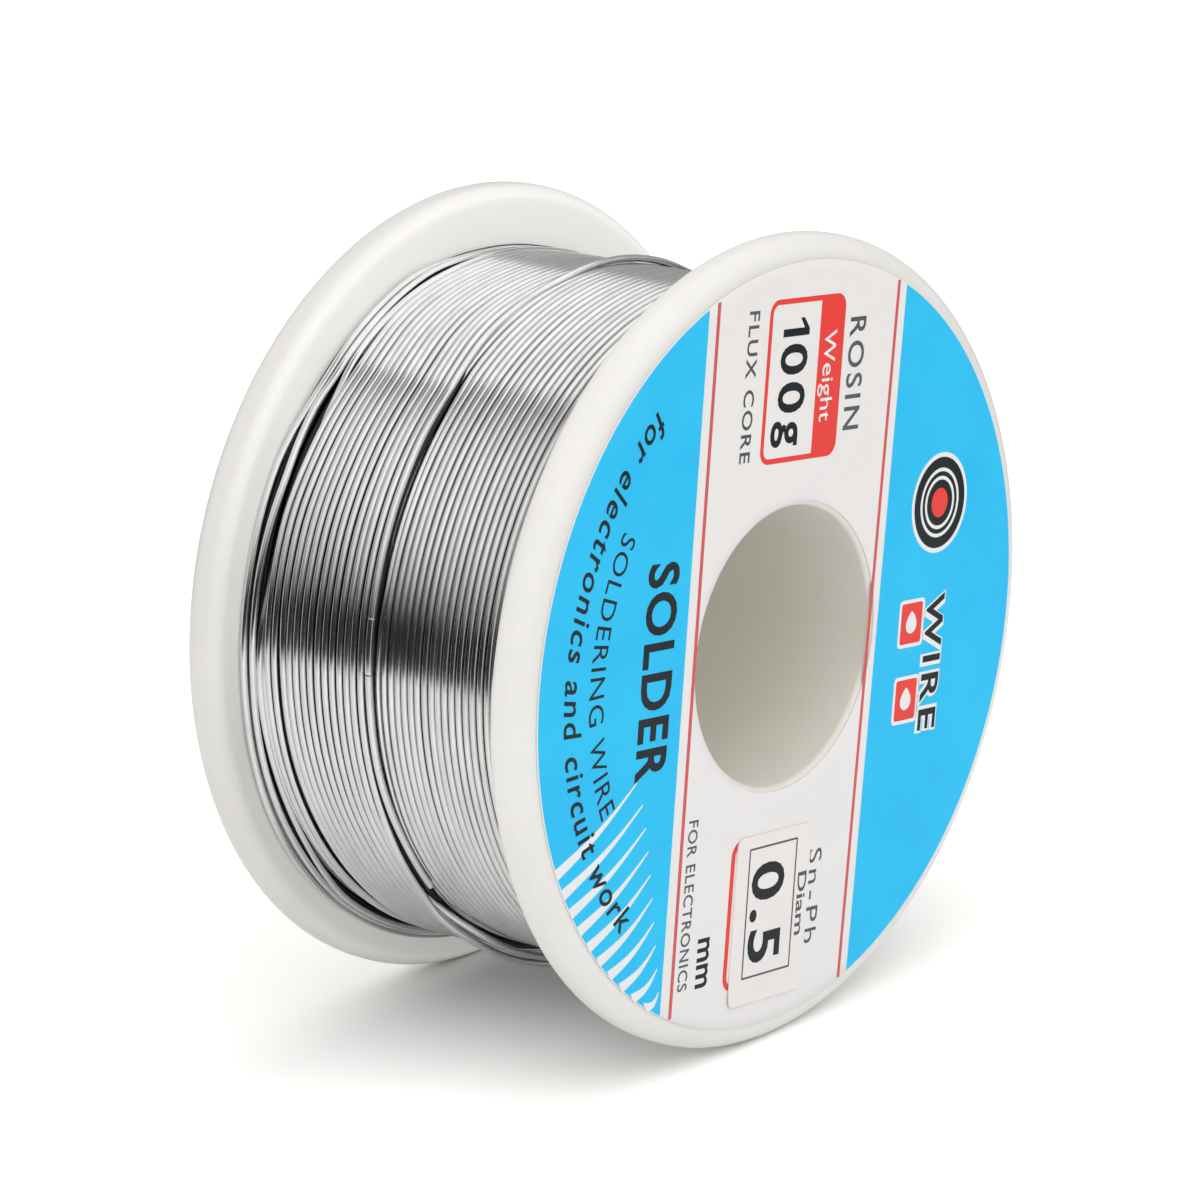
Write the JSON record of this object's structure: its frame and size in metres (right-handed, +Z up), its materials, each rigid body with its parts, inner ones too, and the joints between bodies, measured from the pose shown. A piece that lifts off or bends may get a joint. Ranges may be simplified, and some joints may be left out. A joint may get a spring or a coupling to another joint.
{
  "type": "solder wire spool",
  "caption": "Small flanged plastic spool wound with layers of thin flux-cored solder wire, labelled on one flange, with a large bore for a spindle.",
  "frame": {"origin": "on the spool's axis, half way between the two flange faces", "axes": "+Y along the axis from the labelled flange to the rear flange, +Z up with the spool standing on its rims, so the label faces -Y"},
  "size_m": [0.055, 0.0292, 0.055],
  "materials": {
    "spool_plastic": "smooth white moulded plastic, satin",
    "solder": null,
    "rosin": "amber rosin flux",
    "label_vinyl": "printed vinyl label, sky blue and off-white, satin",
    "sticker_paper": "printed paper sticker, matt"
  },
  "bodies": {
    "spool": {"front_flange": "spool_plastic", "rear_flange": "spool_plastic", "winding_drum": "spool_plastic", "wire_inner_layers": "solder", "wire_main_layer": "solder", "wire_upper_layer": "solder", "wire_crossover_turns": "solder", "wire_last_turn": "solder", "wire_start_end": "solder", "label_disc": "label_vinyl", "spec_sticker": "sticker_paper"},
    "tail_root": {"wire_tail_root": "solder"},
    "tail_middle": {"wire_tail_middle": "solder"},
    "tail_tip": {"wire_tail_tip": "solder", "flux_core": "rosin"}
  },
  "joints": [
    {"name": "tail_lift", "type": "hinge", "parent": "spool", "child": "tail_root", "pos_m": [-0.02373, 0.0012, 0.00418], "axis": [0, 1, 0], "range_deg": [0, 50]},
    {"name": "tail_bend_middle", "type": "hinge", "parent": "tail_root", "child": "tail_middle", "pos_m": [-0.02397, 0.0012, -0.00252], "axis": [0, 1, 0], "range_deg": [0, 40]},
    {"name": "tail_bend_tip", "type": "hinge", "parent": "tail_middle", "child": "tail_tip", "pos_m": [-0.02235, 0.0012, -0.00903], "axis": [0, 1, 0], "range_deg": [0, 40]}
  ]
}
